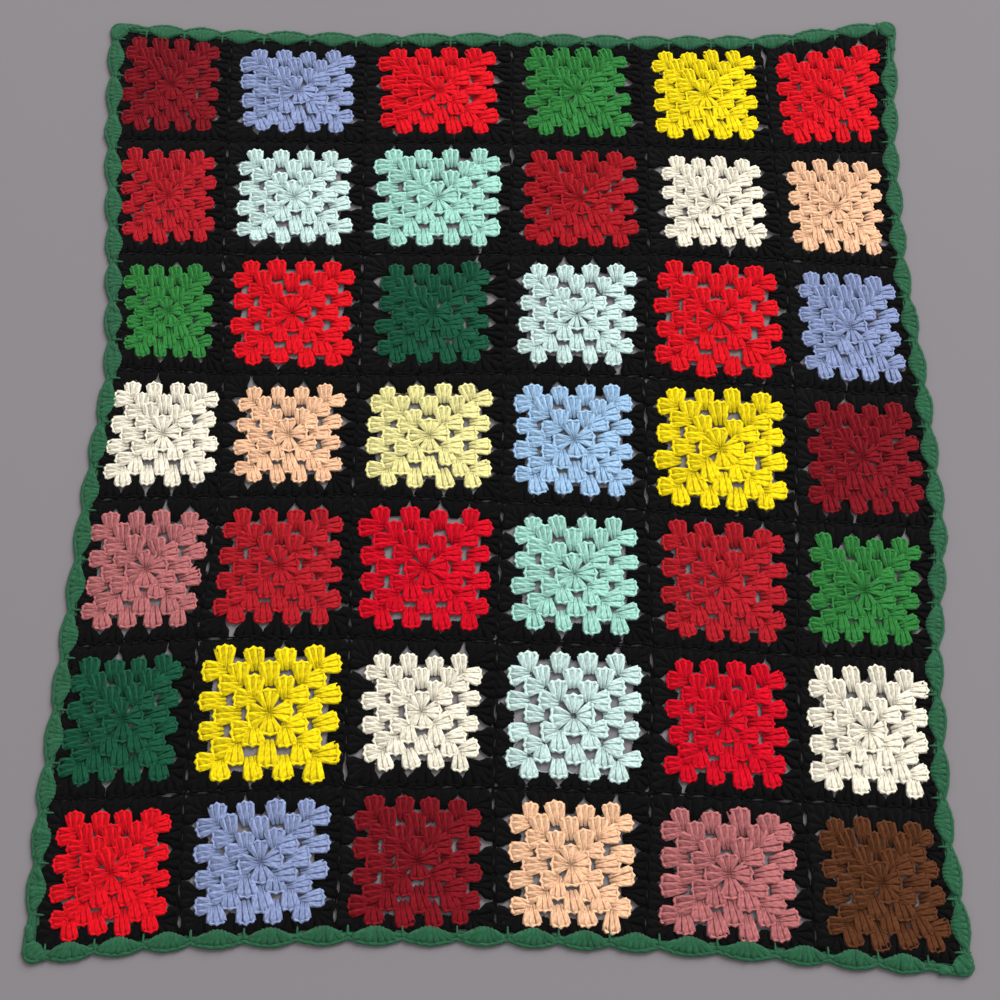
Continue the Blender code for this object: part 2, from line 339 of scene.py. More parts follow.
@dataclass
class Strands:
    """Yarn tubes gathered into one mesh."""

    points: list[np.ndarray] = field(default_factory=list)
    shades: list[np.ndarray] = field(default_factory=list)
    corners: list[np.ndarray] = field(default_factory=list)
    starts: list[np.ndarray] = field(default_factory=list)
    plies: list[np.ndarray] = field(default_factory=list)
    point_count: int = 0
    corner_count: int = 0

    def _add_faces(self, numbers: np.ndarray, length: np.ndarray, steps: slice,
                   kept: list[int]) -> None:
        """Adds the faces of some steps along strands.

        Args:
            numbers: the points' numbers, as strands by rings by sides.
            length: how far along its strand each ring lies, in metres.
            steps: the steps from ring to ring that get faces.
            kept: which of a face's corners are there.
        """
        near, far = numbers[:, :-1], numbers[:, 1:]
        corners = np.stack([near, far, np.roll(far, -1, axis=2), np.roll(near, -1, axis=2)], -1)
        sides = numbers.shape[2]
        turns = np.arange(sides + 1) / sides
        laid = length[..., None] / PLY_LAY
        left, right, start, end = (np.broadcast_to(part, near.shape) for part in
                                   (turns[:-1], turns[1:], laid[:, :-1], laid[:, 1:]))
        plies = np.stack([np.stack([left, start], -1), np.stack([left, end], -1),
                          np.stack([right, end], -1), np.stack([right, start], -1)], axis=-2)
        corners = corners[:, steps][..., kept].reshape(-1, len(kept))
        self.corners.append((corners + self.point_count).ravel())
        self.starts.append(self.corner_count + np.arange(len(corners)) * len(kept))
        self.plies.append(plies[:, steps][..., kept, :].reshape(-1, 2))
        self.corner_count += corners.size

    def _add_points(self, points: np.ndarray, shades: np.ndarray) -> None:
        """Adds points.

        Args:
            points: their places.
            shades: the factor on the colour at each: the dye's random tone with painted shade and
                highlight.
        """
        self.points.append(points.reshape(-1, 3))
        self.shades.append(shades.ravel())
        self.point_count += points.size // 3

    def add(self, path: np.ndarray, wide: np.ndarray, high: np.ndarray, shade: np.ndarray,
            section: np.ndarray, closed: bool = False, twist: float = 0.0) -> None:
        """Sweeps a section along each of several paths.

        Args:
            path: the paths, as strands by points by x, y and z.
            wide: half the section's width at each point of each path.
            high: half the section's height at each point.
            shade: the factor on the colour, for each strand or for each point of each strand: the
                dye's random tone with painted shade and highlight.
            section: the section's points, across and up, anticlockwise, about one unit out.
            closed: whether each path is a ring; otherwise it tapers to a tip at both ends.
            twist: turns of the section for each metre of the path.
        """
        strands, count, _ = path.shape
        sides = len(section)
        shade = np.broadcast_to(shade.reshape(strands, -1), (strands, count))
        if closed:
            tangent = np.roll(path, -1, axis=1) - np.roll(path, 1, axis=1)
            steps = np.roll(path, -1, axis=1) - path
        else:
            tangent = np.gradient(path, axis=1)
            steps = np.diff(path, axis=1)
        length = np.cumsum(np.linalg.norm(steps, axis=2), axis=1)
        length = np.concatenate([np.zeros((strands, 1)), length], axis=1)
        tangent /= np.linalg.norm(tangent, axis=2, keepdims=True)
        across = np.cross(tangent, (0.0, 0.0, 1.0))
        across /= np.linalg.norm(across, axis=2, keepdims=True)
        lift = np.cross(across, tangent)
        turn = 2 * math.pi * twist * length[:, :count, None]
        aside = section[:, 0] * np.cos(turn) - section[:, 1] * np.sin(turn)
        up = section[:, 0] * np.sin(turn) + section[:, 1] * np.cos(turn)
        rings = (path[:, :, None] + (aside * wide[..., None])[..., None] * across[:, :, None]
                 + (up * high[..., None])[..., None] * lift[:, :, None])
        # Painted shade: each point of a ring is painted darker the further underneath the strand it
        # lies.
        depth = PAINTED_UNDERSIDE_SHADE + (1 - PAINTED_UNDERSIDE_SHADE) * np.clip((1 + up) / 2, 0, 1) ** PAINTED_UNDERSIDE_FALL
        shades = shade[..., None] * depth
        if closed:
            numbers = np.arange(strands * count * sides).reshape(strands, count, sides)
            numbers = np.concatenate([numbers, numbers[:, :1]], axis=1)
            self._add_faces(numbers, length, slice(None), WHOLE_FACE)
            self._add_points(rings, shades)
            return
        inner = np.arange(strands * (count - 2) * sides).reshape(strands, count - 2, sides)
        tips = inner.size + np.arange(strands * 2).reshape(strands, 2, 1).repeat(sides, axis=2)
        numbers = np.concatenate([tips[:, :1], inner, tips[:, 1:]], axis=1)
        self._add_faces(numbers, length, slice(1, -1), WHOLE_FACE)
        self._add_faces(numbers, length, slice(0, 1), FIRST_FACE)
        self._add_faces(numbers, length, slice(-1, None), LAST_FACE)
        self._add_points(rings[:, 1:-1], shades[:, 1:-1])
        # The tips get the painted shade of the underside.
        self._add_points(path[:, [0, -1]], shade[:, [0, -1]] * PAINTED_UNDERSIDE_SHADE)

    def build(self, node: str, yarn: Yarn) -> bpy.types.Object:
        """Makes the piece, and hides the solid that it stands for.

        Args:
            node: the name of the solid that it stands for.
            yarn: the yarn that it is worked in.

        Returns:
            The new piece, smooth shaded and in its yarn.
        """
        name = f"{node}_yarn"
        mesh = bpy.data.meshes.new(name)
        points = np.concatenate(self.points)
        corners = np.concatenate(self.corners)
        starts = np.concatenate(self.starts)
        mesh.vertices.add(len(points))
        mesh.vertices.foreach_set("co", points.astype(np.float32).ravel())
        mesh.loops.add(len(corners))
        mesh.loops.foreach_set("vertex_index", corners.astype(np.int32))
        mesh.polygons.add(len(starts))
        mesh.polygons.foreach_set("loop_start", starts.astype(np.int32))
        mesh.update(calc_edges=True)
        mesh.shade_smooth()
        plies = mesh.uv_layers.new(name="ply")
        plies.uv.foreach_set("vector", np.concatenate(self.plies).astype(np.float32).ravel())
        # Painted shade and highlight with the dye's random tone, as a factor on each point's colour.
        shades = mesh.attributes.new("shade", "FLOAT", "POINT")
        shades.data.foreach_set("value", np.concatenate(self.shades).astype(np.float32))
        mesh.materials.append(yarn_material(yarn))
        piece = bpy.data.objects.new(name, mesh)
        bpy.context.scene.collection.objects.link(piece)
        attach(piece, "root")
        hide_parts(node)
        return piece


def yarn_material(yarn: Yarn) -> bpy.types.Material:
    """The material of a yarn, made the first time it is asked for."""
    found = bpy.data.materials.get(f"{yarn.value}_yarn")
    return found or FINISHES[yarn].material(yarn)


# --- Clusters of trebles ------------------------------------------------------------------------


@dataclass(frozen=True)
class ClusterShape:
    """The size of a cluster of three trebles and of the chain edge over it, in metres."""

    foot_step: float = 3.5 * MM     # between two posts at the cluster's foot
    head_step: float = 6.3 * MM     # between two posts at its head
    half_foot: float = 2.15 * MM    # half a post's width at its foot
    half_head: float = 3.6 * MM     # half its width at its head
    half_high: float = 1.1 * MM     # half its height
    edge_reach: float = 8.0 * MM    # how far to each side of the middle the edge runs
    edge_radius: float = 1.5 * MM   # half the width of the edge
    space_radius: float = 0.6 * MM  # half the width of the chain over a space
    space_push: float = 1.8 * MM    # how far out that chain bows, under the next round's feet
    edge_flatness: float = 0.8      # how high the edge is, as a share of its width
    edge_painted_light: float = 1.05        # painted light on its dye: above 1 a painted highlight, paler than the posts under it, below 1 painted shade
    space_painted_shade: float = 0.5        # painted shade on the chain's dye, deep in the work
    edge_height: float = 2.7 * MM   # of the edge's middle, off the floor
    space_height: float = 1.0 * MM  # of the chain's middle over a space
    section: np.ndarray = field(default_factory=lambda: POST_SECTION)
    edge_sides: int = 6
    edge_sweep: float = 94.0        # how far round the top the edge runs each way, in degrees
    edge_points: int = 15
    space_points: int = 2
    squareness: float = 0.4         # how far the tops are squared up with the side

    def scaled(self, scale: float, fullness: float) -> "ClusterShape":
        """Works the same cluster smaller or larger, and fuller or slimmer.

        Args:
            scale: its size, as a share of this one's.
            fullness: its width, as a share of what that gives.

        Returns:
            The new cluster's sizes.
        """
        along = ("edge_radius", "space_radius", "half_high")
        across = ("foot_step", "head_step", "half_foot", "half_head", "edge_reach")
        sizes = {name: getattr(self, name) * scale for name in along}
        sizes |= {name: getattr(self, name) * scale * fullness for name in across}
        return replace(self, **sizes)


@dataclass
class Clusters:
    """Where the clusters of one round lie, clockwise from the left end of the top side.

    Attributes:
        feet: where the clusters start, in metres, one row each.
        heads: where their tops lie.
        sides: the direction that each side of the square faces, one row for each cluster.
        pinch: how narrow each foot is, as a share of the usual.
        drop: how far the edge falls back at the sides of each cluster, in metres.
        wide: how wide each cluster is, as a share of the usual.
    """

    feet: np.ndarray
    heads: np.ndarray
    sides: np.ndarray
    pinch: np.ndarray
    drop: np.ndarray
    wide: np.ndarray

    @property
    def outwards(self) -> np.ndarray:
        """The direction of each cluster, away from the square's middle."""
        along = self.heads - self.feet
        return along / np.linalg.norm(along, axis=1, keepdims=True)

    def facing(self, squareness: float) -> np.ndarray:
        """The direction that each top faces, from the cluster's own to its side's."""
        mixed = self.outwards * (1 - squareness) + self.sides * squareness
        return mixed / np.linalg.norm(mixed, axis=1, keepdims=True)

    @property
    def is_last_of_side(self) -> np.ndarray:
        """Whether each cluster is the last before a corner."""
        each_side = len(self.feet) // len(Side)
        return np.arange(len(self.feet)) % each_side == each_side - 1


# Along a post: how far, its height in metres, its width and height as shares of the full, how
# far the posts have spread from each other, in open work and in tight work, and the painted
# shade on its dye: painted darker deep in the work and just under the edge, where shade falls.
MIDDLE_PROFILE = np.array([
    (0.00, 1.8 * MM, 0.0, 0.0, 0.00, 0.00, 0.65),
    (0.08, 2.4 * MM, 0.8, 0.9, 0.08, 0.08, 0.75),
    (0.32, 2.9 * MM, 1.0, 1.0, 0.34, 0.34, 0.95),
    (0.70, 2.8 * MM, 1.0, 1.0, 0.72, 0.72, 1.00),
    (0.97, 2.3 * MM, 0.9, 0.9, 1.00, 1.00, 0.88),
    (1.06, 2.0 * MM, 0.0, 0.0, 1.00, 1.00, 0.80),
])
POST_PROFILE = np.array([
    (0.00, 1.2 * MM, 0.0, 0.0, 0.00, 0.00, 0.70),
    (0.08, 2.3 * MM, 0.8, 0.8, 0.08, 0.20, 0.80),
    (0.38, 3.1 * MM, 1.0, 1.0, 0.46, 0.70, 0.98),
    (0.76, 2.9 * MM, 1.0, 1.0, 0.86, 0.97, 1.00),
    (0.98, 2.6 * MM, 1.0, 1.0, 1.02, 1.02, 0.88),
    (1.05, 2.2 * MM, 0.0, 0.0, 1.02, 1.02, 0.80),
])
# The same in the black, where a cluster spreads only past the coloured lobes beside it.
BLACK_PROFILE = np.array([
    (0.00, 1.2 * MM, 0.0, 0.0, 0.00, 0.00, 1.00),
    (0.08, 1.9 * MM, 0.9, 0.9, 0.00, 0.00, 1.00),
    (0.42, 2.1 * MM, 1.0, 1.0, 0.17, 0.45, 1.00),
    (0.70, 2.1 * MM, 1.0, 0.9, 0.62, 1.00, 1.00),
    (0.97, 2.2 * MM, 1.0, 0.9, 0.97, 1.02, 1.00),
    (1.05, 2.1 * MM, 0.0, 0.0, 0.97, 1.02, 1.00),
])
POSTS = np.array([-1.0, 0.0, 1.0])      # the three posts of a cluster, from left to right
POST_PAINTED_SHADE = 0.98                       # painted shade on the posts' dye, a little darker than the edge's painted highlight
ROOT_SHARE = 0.1                        # of a post's length, up to which it is its root
ROOT_REACH = 0.26                       # how much further in a root starts in tight work
ROOT_HEIGHT = 1.3 * MM                  # of a root in tight work
ROOT_PAINTED_SHADE = 0.35                   # painted shade: how much darker the root is painted there
POST_ROLL = 3.0                         # turns for each metre of a post, which hardly turns
POST_WANDER = 0.3 * MM                  # how unevenly the posts stand apart at the top
POST_SPREAD = 0.05                      # how uneven their thickness and dye are, as a share
HEIGHT_SPREAD = 0.15 * MM               # how uneven the height of the work is
TOP_ROUNDING = 0.85                     # how round a cluster's top is, 1 for an ellipse
STITCH_RISE = 0.6 * MM                  # how far out each stitch of the edge bulges
STITCH_SWELL = 0.26                     # how much thicker it is, as a share of its radius
TUCK_FROM, TUCK_TO = 50.0, 92.0         # where the edge goes down under the next round
TUCK_PAINTED_SHADE = 0.35                   # painted shade: how much darker the edge is painted there
TUCK_THINNING = 0.5                     # how much thinner


@dataclass
class ClusterWork:
    """Works rounds of clusters into a mesh of strands."""

    strands: Strands
    shape: ClusterShape
    openness: float
    rng: np.random.Generator

    def work(self, clusters: Clusters, profile: np.ndarray, corner_reach: float) -> None:
        """Works one round: the posts of its clusters, and the edge over them.

        Args:
            clusters: where they lie.
            profile: the run of each post, a row for each point of it.
            corner_reach: how far the chain over a corner is pushed outwards, in metres.
        """
        self.posts(clusters, profile)
        self.edge(clusters, corner_reach)

    def posts(self, clusters: Clusters, profile: np.ndarray) -> None:
        """Adds the three posts of each cluster.

        Args:
            clusters: where they lie.
            profile: the run of each post, a row for each point of it.
        """
        shape, count = self.shape, len(clusters.feet)
        length = np.linalg.norm(clusters.heads - clusters.feet, axis=1)
        along, height, wide, high, apart_open, apart_tight, dye_and_painted_shade = profile.T
        apart = apart_tight + (apart_open - apart_tight) * self.openness
        root = (along < ROOT_SHARE) * (1 - self.openness)
        along = along - ROOT_REACH * root
        height = height + (ROOT_HEIGHT - height) * root
        # Painted shade on the root, deep in tight work.
        dye_and_painted_shade = dye_and_painted_shade * (1 - ROOT_PAINTED_SHADE * root)
        post, each = POSTS[:, None], (count, len(POSTS), 1)
        pinch = clusters.pinch[:, None, None]
        foot = shape.foot_step * pinch
        head = shape.head_step * clusters.wide[:, None, None]
        aside = post * (foot + (head - foot) * apart)
        aside = aside + self.rng.normal(0, POST_WANDER, each) * along
        side_share = shape.head_step / shape.edge_reach
        side_fall = 1 - (1 - side_share ** (2 / TOP_ROUNDING)) ** (TOP_ROUNDING / 2)
        fall = np.abs(post) * along * clusters.drop[:, None, None] * side_fall
        reach = length[:, None, None] * along - fall
        own, facing = (clockwise(way)[:, None, None] for way in
                       (clusters.outwards, clusters.facing(shape.squareness)))
        onwards = own * (1 - along[:, None]) + facing * along[:, None]
        path = np.empty((count, len(POSTS), len(along), 3))
        path[..., :2] = (clusters.feet[:, None, None]
                         + clusters.outwards[:, None, None] * reach[..., None]
                         + onwards * aside[..., None])
        path[..., 2] = height + self.rng.normal(0, HEIGHT_SPREAD, each)
        size = self.rng.normal(1.0, POST_SPREAD, each)
        half_foot = shape.half_foot * pinch
        half_head = shape.half_head * clusters.wide[:, None, None]
        half = (half_foot + (half_head - half_foot) * apart) * wide * size
        tall = np.broadcast_to(shape.half_high * high, half.shape)
        # The dye's random tone, with the posts' painted shade and the painted shade along each post.
        shade = POST_PAINTED_SHADE * self.rng.normal(1.0, POST_SPREAD, (count * len(POSTS), 1)) * dye_and_painted_shade
        points = len(along)
        self.strands.add(path.reshape(-1, points, 3), half.reshape(-1, points),
                         tall.reshape(-1, points), shade, shape.section, twist=POST_ROLL)

    def edge(self, clusters: Clusters, corner_reach: float) -> None:
        """Adds the chain edge that runs round over all the clusters' tops.

        Args:
            clusters: where they lie.
            corner_reach: how far the chain over a corner is pushed outwards, in metres.
        """
        shape, count = self.shape, len(clusters.feet)
        outwards = clusters.facing(shape.squareness)
        degrees = np.linspace(-shape.edge_sweep, shape.edge_sweep, shape.edge_points)
        tuck = np.clip((np.abs(degrees) - TUCK_FROM) / (TUCK_TO - TUCK_FROM), 0, 1)
        tuck = tuck ** 2 * (3 - 2 * tuck)
        across, up = (np.sign(part) * np.abs(part) ** TOP_ROUNDING
                      for part in (np.sin(np.radians(degrees)), np.cos(np.radians(degrees))))
        stitch = np.cos(2 * math.pi * across * shape.edge_reach / shape.head_step)
        rise = clusters.drop[:, None] * (up - 1) + STITCH_RISE * stitch
        aside = shape.edge_reach * clusters.wide[:, None] * across
        over = (clusters.heads[:, None] + clockwise(outwards)[:, None] * aside[..., None]
                + outwards[:, None] * rise[..., None])
        share = (np.arange(shape.space_points) + 1) / (shape.space_points + 1)
        start, end = over[:, -1, None], np.roll(over[:, 0], -1, axis=0)[:, None]
        space = start + (end - start) * share[:, None]
        away = outwards + np.roll(outwards, -1, axis=0)
        away /= np.linalg.norm(away, axis=1, keepdims=True)
        push = shape.space_push + clusters.is_last_of_side * (corner_reach - shape.space_push)
        push = push[:, None] * np.sin(math.pi * share)
        space = space + away[:, None] * push[..., None]
        flat = np.concatenate([over, space], axis=1)
        edge_height = shape.edge_height - (shape.edge_height - shape.space_height) * tuck
        height = np.concatenate([edge_height, np.full(shape.space_points, shape.space_height)])
        swell = 1 + STITCH_SWELL * stitch * (1 - tuck) - TUCK_THINNING * tuck
        radius = np.concatenate([shape.edge_radius * swell,
                                 np.full(shape.space_points, shape.space_radius)])
        path = np.concatenate([flat, np.broadcast_to(height[:, None], (*flat.shape[:2], 1))],
                              axis=2).reshape(1, -1, 3)
        path = path + self.rng.normal(0, HEIGHT_SPREAD, path.shape)
        half = np.tile(radius, count)[None]
        # Painted highlight along the edge, painted shade where it tucks under, and painted shade on
        # the chain over each space.
        shade = np.concatenate([shape.edge_painted_light * (1 - TUCK_PAINTED_SHADE * tuck),
                                np.full(shape.space_points, shape.space_painted_shade)])
        self.strands.add(path, half, half * shape.edge_flatness, np.tile(shade, count)[None],
                         round_section(shape.edge_sides), closed=True)


def clockwise(directions: np.ndarray) -> np.ndarray:
    """Directions turned a quarter clockwise: from outwards to onwards along the round."""
    return np.stack([directions[:, 1], -directions[:, 0]], axis=1)


# --- A square and its rounds --------------------------------------------------------------------


@dataclass(frozen=True)
class Round:
    """One coloured round of a square; lengths are shares of half the coloured size."""

    clusters: int       # on each side
    rim: float          # how far out the tops lie
    pitch: float        # from one cluster to the next
    foot: float         # how far out the inner clusters start
    drop: float         # how far the edge falls back at the clusters' sides, in metres
    pinch: float = 0.6  # how narrow the corner clusters' feet are
    wide: float = 1.0   # how wide the clusters are
    hub: tuple[float, float] = (0.0, 0.0)   # where the corner clusters start, across and up
    profile: np.ndarray = field(default_factory=lambda: POST_PROFILE)

    def side(self) -> np.ndarray:
        """Lays out the clusters of the top side.

        Returns:
            A row for each cluster: across and up of its foot, then of its head.
        """
        aside = (np.arange(self.clusters) - (self.clusters - 1) / 2) * self.pitch
        rows = np.stack([aside, np.full_like(aside, self.foot), aside,
                         np.full_like(aside, self.rim)], axis=1)
        if self.clusters > 1:
            rows[[0, -1], 0] = -self.hub[0], self.hub[0]
            rows[[0, -1], 1] = self.hub[1]
        return rows


ROUNDS = (
    Round(clusters=1, rim=0.30, pitch=0.00, foot=0.03, drop=5.0 * MM, pinch=0.35, wide=1.4,
          profile=MIDDLE_PROFILE),
    Round(clusters=2, rim=0.51, pitch=0.46, foot=0.23, drop=4.5 * MM, wide=1.08,
          hub=(0.22, 0.21)),
    Round(clusters=3, rim=0.74, pitch=0.46, foot=0.42, drop=4.5 * MM, wide=1.05,
          hub=(0.44, 0.43)),
    Round(clusters=4, rim=0.97, pitch=0.435, foot=0.65, drop=6.0 * MM, hub=(0.66, 0.65)),
)
LEAN = -0.02            # how far each cluster's top leans against the way of work
TIGHT_LEAN = -0.055     # how much more in the tightest work
LEAN_SPREAD = 0.022     # how unevenly
WIDTH_SPREAD = 0.06     # how unevenly wide the clusters are, as a share of their width
CORNER_REACH = 1.2 * MM # how far the chain over a corner stands out
USUAL_HALF = 62 * MM    # half the coloured size of a square worked at the usual tension
FULLNESS = 0.98         # how wide the clusters of the tightest work are, to the most open
TIGHT_CHAIN = 0.3 * MM  # how much thicker the chains over the spaces are in the tightest work
TIGHT_PULL = 3.0 * MM   # how much further in they lie
TIGHT_THIN = 0.2        # how much thinner the edges are, as a share of their width
TIGHT_RISE = 0.03       # how much further out the rounds' tops lie in the tightest work
TIGHT_SINK = 0.015      # how much further in their feet lie


@dataclass(frozen=True)
class LastRound:
    """The black round, whose tops lie along the seams; shares are of half the coloured size."""

    clusters: int = 5               # on each side
    foot: float = 0.87              # how far out the inner clusters start
    hub: tuple[float, float] = (0.84, 0.82)     # where the corner clusters do, across and up
    tight_sink: float = 0.05        # how much further in they start in the tightest work
    tight_foot: float = 0.4         # how wide a foot is in the tightest work, to the most open
    pinch: float = 0.8              # how narrow the corner clusters' feet are
    corner_inset: float = 0.26      # from the seam to the middle of a corner cluster
    up_spread: float = 0.006        # how unevenly far out the tops lie
    seam_inset: float = 1.15 * MM   # from the seam to the middle of the chain edge
    outer_inset: float = 1.7 * MM   # the same at the blanket's edge
    outer_drop: float = 3.5 * MM    # how far the edge falls back beside a cluster there
    slit_across: float = 1.6 * MM   # the most that it bows away from a seam that runs across
    slit_down: float = 2.4 * MM     # the same from a seam that runs down
    slit_inner: float = 0.5         # the share of that away from the crossings
    usual_pitch: float = 28 * MM    # between the clusters that the black's shape is right for


@dataclass(frozen=True)
class SquarePlan:
    """Where one square lies, and its size."""

    row: int
    column: int

    @property
    def yarn(self) -> Yarn:
        """The yarn of the coloured rounds."""
        return SQUARES[self.row][self.column][0]

    @property
    def half(self) -> np.ndarray:
        """Half the coloured width and half the coloured height, in metres."""
        return np.array(SQUARES[self.row][self.column][1:3], float) * MM / 2

    @property
    def openness(self) -> float:
        """How open the work is, from 0 to 1."""
        return SQUARES[self.row][self.column][3]

    @property
    def cell(self) -> np.ndarray:
        """The four crossings round the square: top left, top right, foot left, foot right."""
        return CROSSINGS[self.row:self.row + 2, self.column:self.column + 2].reshape(4, 2)

    @property
    def cell_size(self) -> np.ndarray:
        """The cell's size.

        Returns:
            Its mean width and height, in metres.
        """
        top_left, top_right, foot_left, foot_right = self.cell
        wide = np.linalg.norm(top_right - top_left) + np.linalg.norm(foot_right - foot_left)
        tall = np.linalg.norm(top_left - foot_left) + np.linalg.norm(top_right - foot_right)
        return np.array([wide, tall]) / 2

    def black_before(self) -> np.ndarray:
        """Shares out the black that is left beside the coloured square.

        Returns:
            The black to the square's left and above it, in metres.
        """
        spare = self.cell_size - 2 * self.half
        at_edge = np.maximum(spare - HALF_SEAM, EDGE_BLACK)
        first = np.array([self.column == 0, self.row == 0])
        last = np.array([self.column == COLUMNS - 1, self.row == ROWS - 1])
        return np.where(first, at_edge, np.where(last, spare - at_edge, spare / 2))

    def black_beyond(self, side: Side) -> float:
        """Measures the black between the coloured square and the seam.

        Args:
            side: the side on which it is measured.

        Returns:
            Its width, in metres.
        """
        before = self.black_before()
        after = self.cell_size - 2 * self.half - before
        return {Side.TOP: before[1], Side.RIGHT: after[0], Side.FOOT: after[1],
                Side.LEFT: before[0]}[side]

    def half_towards(self, side: Side) -> float:
        """Half the coloured size, measured towards one side."""
        return self.half[1 if side in (Side.TOP, Side.FOOT) else 0]

    def seam(self, side: Side) -> float:
        """How far out the seam lies on one side, as a share of half the coloured size."""
        return 1 + self.black_beyond(side) / self.half_towards(side)

    def is_outer(self, side: Side) -> bool:
        """Whether one side of the square lies at the blanket's edge."""
        return {Side.TOP: self.row == 0, Side.RIGHT: self.column == COLUMNS - 1,
                Side.FOOT: self.row == ROWS - 1, Side.LEFT: self.column == 0}[side]

    def place(self, spots: np.ndarray) -> np.ndarray:
        """Finds a square's own places on the blanket.

        Args:
            spots: the places, across and up, from -1 to 1 over the coloured square.

        Returns:
            The points of the blanket, in metres.
        """
        top_left, top_right, foot_left, foot_right = self.cell
        before, size = self.black_before(), self.cell_size
        across = ((before[0] + self.half[0] * (1 + spots[:, 0])) / size[0])[:, None]
        down = ((before[1] + self.half[1] * (1 - spots[:, 1])) / size[1])[:, None]
        high = top_left + (top_right - top_left) * across
        low = foot_left + (foot_right - foot_left) * across
        return high + (low - high) * down

    def sides(self, clusters: int) -> np.ndarray:
        """Finds the direction that each side faces.

        Args:
            clusters: how many clusters each side has.

        Returns:
            The directions, one row for each cluster.
        """
        top_left, top_right, foot_left, foot_right = self.cell
        along = np.array([top_right - top_left, foot_right - top_right,
                          foot_left - foot_right, top_left - foot_left])
        outwards = np.stack([-along[:, 1], along[:, 0]], axis=1)
        outwards /= np.linalg.norm(outwards, axis=1, keepdims=True)
        return np.repeat(outwards, clusters, axis=0)

    def shape(self) -> ClusterShape:
        """Sizes the clusters of this square's coloured rounds.

        Returns:
            Their sizes: tighter work has slightly slimmer clusters with thinner edges, and
            thicker chains over its spaces, which lie further in.
        """
        fullness = FULLNESS + (1 - FULLNESS) * self.openness
        tightness = 1 - self.openness
        usual = ClusterShape()
        chained = replace(usual,
                          edge_radius=usual.edge_radius * (1 - TIGHT_THIN * tightness),
                          space_radius=usual.space_radius + TIGHT_CHAIN * tightness ** 2,
                          space_push=usual.space_push - TIGHT_PULL * tightness)
        return chained.scaled(float(self.half.mean() / USUAL_HALF), fullness)

    def leaned(self, this_round: Round) -> np.ndarray:
        """Lays out one round with each top leaning a little.

        Args:
            this_round: the round.

        Returns:
            For each side, its clusters as Round.side gives them.
        """
        rng = np.random.default_rng((self.row, self.column, this_round.clusters))
        sides = np.repeat(this_round.side()[None], len(Side), axis=0)
        tightness = 1 - self.openness
        is_inner = this_round.rim < ROUNDS[-1].rim
        sides[..., 3] += TIGHT_RISE * tightness * is_inner
        sides[..., 1] -= TIGHT_SINK * tightness
        lean = (LEAN + TIGHT_LEAN * tightness, 0.0)
        sides[..., 2:] += rng.normal(lean, LEAN_SPREAD, (*sides.shape[:2], 2))
        return sides

    def rng(self) -> np.random.Generator:
        """A source of small unevenness of the square's own."""
        return np.random.default_rng((self.row, self.column))


def turned(spots: np.ndarray, side: Side) -> np.ndarray:
    """Turns places on a square's top side clockwise to another side.

    Args:
        spots: the places, across and up.
        side: the side.

    Returns:
        The turned places.
    """
    for _ in range(side.value):
        spots = np.stack([spots[:, 1], -spots[:, 0]], axis=1)
    return spots


@dataclass
class GrannyMiddle:
    """The four coloured rounds of one square."""

    plan: SquarePlan

    def build(self) -> bpy.types.Object:
        """Works the rounds and dresses them in the square's yarn.

        Returns:
            The finished piece.
        """
        plan, rng, strands = self.plan, self.plan.rng(), Strands()
        work = ClusterWork(strands, plan.shape(), plan.openness, rng)
        for this_round in ROUNDS:
            sides, count = plan.leaned(this_round), this_round.clusters
            feet = np.concatenate([turned(sides[s.value, :, :2], s) for s in Side])
            heads = np.concatenate([turned(sides[s.value, :, 2:], s) for s in Side])
            pinch = np.ones((len(Side), count))
            pinch[:, [0, -1]] = this_round.pinch
            wide = this_round.wide * rng.normal(1.0, WIDTH_SPREAD, len(feet))
            clusters = Clusters(plan.place(feet), plan.place(heads), plan.sides(count),
                                pinch.ravel(), np.full(len(feet), this_round.drop), wide)
            work.work(clusters, this_round.profile, CORNER_REACH)
        node = f"square_{plan.row + 1}_{plan.column + 1}_{plan.yarn.value}"
        piece = strands.build(node, plan.yarn)
        return piece


